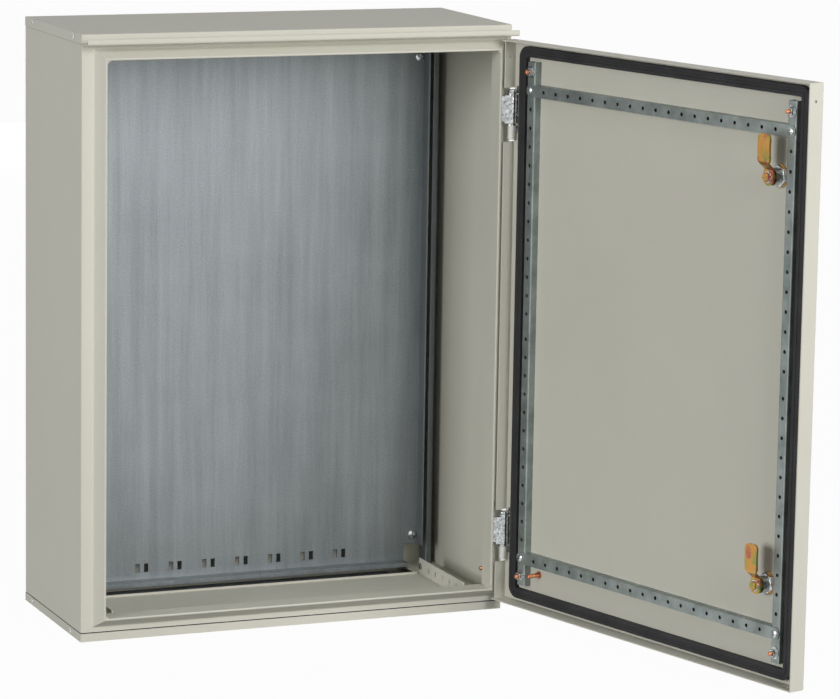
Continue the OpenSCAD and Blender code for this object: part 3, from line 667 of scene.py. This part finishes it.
hingeShape = {"upper": 0.670, "lower": 0.095, "barrel": 0.0068, "length": 0.038, "shy": 0.0002,
              "pin": 0.003, "pinBelow": 0.01, "reach": 0.009, "heading": 156.5, "clear": 0.0071,
              "clearTop": 0.06, "barrelEdge": (0.0007, 50, 3), "bracketEdge": (0.0003, 40, 1)}
capShape = {"radius": 0.0066, "at": 0.0413, "height": 0.0042, "dome": (0.0024, 50, 5), "shade": 40,
            "foot": 0.0054, "footLow": 0.0001, "footHigh": 0.0018,
            "slotHalf": 0.0006, "slotLength": 0.0095, "slotDeep": 0.0009}


def hingeCasting(h, z):
    low, high = z + h["shy"], z + h["length"] - h["shy"]
    casting = cylinder(h["barrel"], low, high, 64)
    web = block((0, -h["barrel"], low), (h["reach"], h["barrel"], high))
    web.data.transform(turned(h["heading"], "Z"))
    cut(casting, web, "UNION")
    cut(casting, cylinder(h["pin"], z - h["pinBelow"], z + h["clearTop"], 32))
    softEdged(casting, *h["barrelEdge"])
    casting.data.transform(moved(hinge.x, hinge.y, 0))
    return casting


def hingeCap(c, z):
    low, top = z + c["at"], z + c["at"] + c["height"]
    cap = cylinder(c["radius"], low, top, 48)
    bevelled(cap, *c["dome"])
    cut(cap, cylinder(c["foot"], low - c["footLow"], low + c["footHigh"], 48), "UNION")
    slot = block((-c["slotLength"], -c["slotHalf"], top - c["slotDeep"]),
                 (c["slotLength"], c["slotHalf"], top + through))
    cut(cap, slot)
    smoothShaded(cap, c["shade"])
    cap.data.transform(moved(hinge.x, hinge.y, 0))
    return cap


def hingeBracket(h, c, level, z):
    # the door's half, cleared where it would meet the barrel and the cap
    bracket = fromNode("hinge_bracket_" + level)
    axis = (hinge.x, hinge.y)
    cut(bracket, cylinder(h["clear"], z, z + h["length"], 64, axis))
    cut(bracket, cylinder(h["clear"], z + c["at"], z + h["clearTop"], 64, axis))
    return softEdged(bracket, *h["bracketEdge"])


for level in ("upper", "lower"):
    z = hingeShape[level]
    finished(hingeCasting(hingeShape, z), level + "HingeCasting", "zinc_plated", "cabinet")
    finished(hingeCap(capShape, z), level + "HingeCap", "zinc_plated", "cabinet")
    finished(hingeBracket(hingeShape, capShape, level, z), level + "HingeBracket", "zinc_plated", "door",
             "hinge_bracket_" + level)
print("hinges made")


# each solid's new name and how its edges are softened: width, least angle in degrees, segments
softSolids = {
    "door_gasket": ("doorGasket", 0.0018, 40, 3),
    "mounting_plate": ("mountingPlate", 0.0008, 40, 2),
    "support_rail_right": ("supportRailRight", 0.0004, 40, 1),
    "support_rail_left": ("supportRailLeft", 0.0004, 40, 1),
}

for node, (name, *edge) in softSolids.items():
    body = "door" if node.startswith("door") else "cabinet"
    finished(softEdged(fromNode(node), *edge), name, slotOf[node], body, node)
print("soft edges on", len(softSolids), "solids")


rivetShape = {"head": 0.0034, "height": 0.0011, "dome": (0.0008, 50, 3), "shade": 40,
              "core": 0.0012, "coreDeep": 0.0008, "wall": 0.2998}
rivetRows = {"roof_rivets": {"z": 0.794, "depths": (-0.090, 0.090)},
             "base_rivets": {"z": 0.0055, "depths": (-0.080, 0.092)}}


def blindRivet(r):
    head = cylinder(r["head"], 0, r["height"], 32)
    bevelled(head, *r["dome"])
    cut(head, cylinder(r["core"], r["height"] - r["coreDeep"], r["height"] + through, 24))
    return smoothShaded(head, r["shade"])


def rivets(r, node, row):
    head = blindRivet(r)
    for side in (-1, 1):
        for y in row["depths"]:
            place = moved(side * r["wall"], y, row["z"]) @ turned(90 * side, "Y")
            name = node.replace("_r", "R")
            name += ("Left" if side < 0 else "Right") + ("Front" if y < 0 else "Back")
            finished(copied(head, place), name, "zinc_plated", "cabinet", node)
    cleared(head)


for node, row in rivetRows.items():
    rivets(rivetShape, node, row)
print("rivets made")


cornerShape = {"left": -0.270, "right": 0.2775, "radius": 0.006, "depth": 0.017, "shy": 0.0004}


def cornerFillets(c):
    # the frame's returns meet in small rounded corners
    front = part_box("front_sill")[0].y
    low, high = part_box("front_sill")[1].z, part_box("front_header")[0].z
    r = c["radius"]
    for side, x in ((1, c["left"]), (-1, c["right"])):
        for up, z in ((1, low), (-1, high)):
            name = "frameCorner" + ("Left" if side > 0 else "Right") + ("Low" if up > 0 else "High")
            corner = block((min(x, x + side * r), front + c["shy"], min(z, z + up * r)),
                           (max(x, x + side * r), front + c["depth"], max(z, z + up * r)))
            bore = cylinder(r, -through, c["depth"] + 3 * through, 48)
            middle = moved(x + side * r, front + c["depth"] + through, z + up * r)
            bore.data.transform(middle @ turned(90, "X"))
            finished(cut(corner, bore), name, "painted_sheet", "cabinet")


cornerFillets(cornerShape)
print("frame corners made")


# the sky's and the floor's share of plain light, and the share of the floor's shadow that shows
room = {"floor": (0.30, 0.30, 0.295), "size": 60.0, "world": 0.17, "shadow": 0.03, "white": (1.0, 1.0, 1.0)}


def paleFloor(r):
    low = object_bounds()[0][2]
    floor = added(bpy.ops.mesh.primitive_plane_add, size=r["size"], location=(0, 0, low))
    floor.name = "paleFloor"
    f = Finish("paleFloor")
    diffuse = f.node("ShaderNodeBsdfDiffuse", sockets={"Color": r["floor"]})
    glow = f.node("ShaderNodeEmission", sockets={"Color": r["white"], "Strength": 1.0})
    mixed = f.node("ShaderNodeMixShader", sockets={0: f.seenRays() * (1 - r["shadow"]), 1: diffuse, 2: glow})
    floor.data.materials.append(f.done(mixed))
    floor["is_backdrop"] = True


def world(r):
    sky = bpy.data.worlds.new("studio")
    bpy.context.scene.world = sky
    sky.use_nodes = True
    w = NodeWork(sky.node_tree)
    strength = w.seenRays() * (1 - r["world"]) + r["world"]
    back = w.node("ShaderNodeBackground", sockets={"Color": r["white"], "Strength": strength})
    w.node("ShaderNodeOutputWorld", sockets={"Surface": back})


lamps = {
    "frontLamp": {"place": (1.3, -4.15, 1.85), "aim": (0.1, -0.1, 0.4), "size": 2.2, "power": 142},
    "leftLamp": {"place": (-7.6, -3.3, 2.0), "aim": (0, 0, 0.4), "size": 3.0, "power": 320},
    # low and behind, so that it lights the back and leaves the roof as it is
    "backLamp": {"place": (1.6, 5.2, 0.41), "aim": (0, 0, 0.4), "size": 0.75, "power": 95},
}


def softLamp(name, l):
    data = bpy.data.lights.new(name, "AREA")
    data.energy = l["power"]
    data.size = l["size"]
    lamp = bpy.data.objects.new(name, data)
    bpy.context.collection.objects.link(lamp)
    aim = Vector(l["aim"]) - Vector(l["place"])
    lamp.matrix_world = moved(*l["place"]) @ aim.to_track_quat("-Z", "Y").to_matrix().to_4x4()


paleFloor(room)
world(room)
for name, lamp in lamps.items():
    softLamp(name, lamp)
bpy.context.scene.view_settings.view_transform = "Standard"
print("room and lamps set")
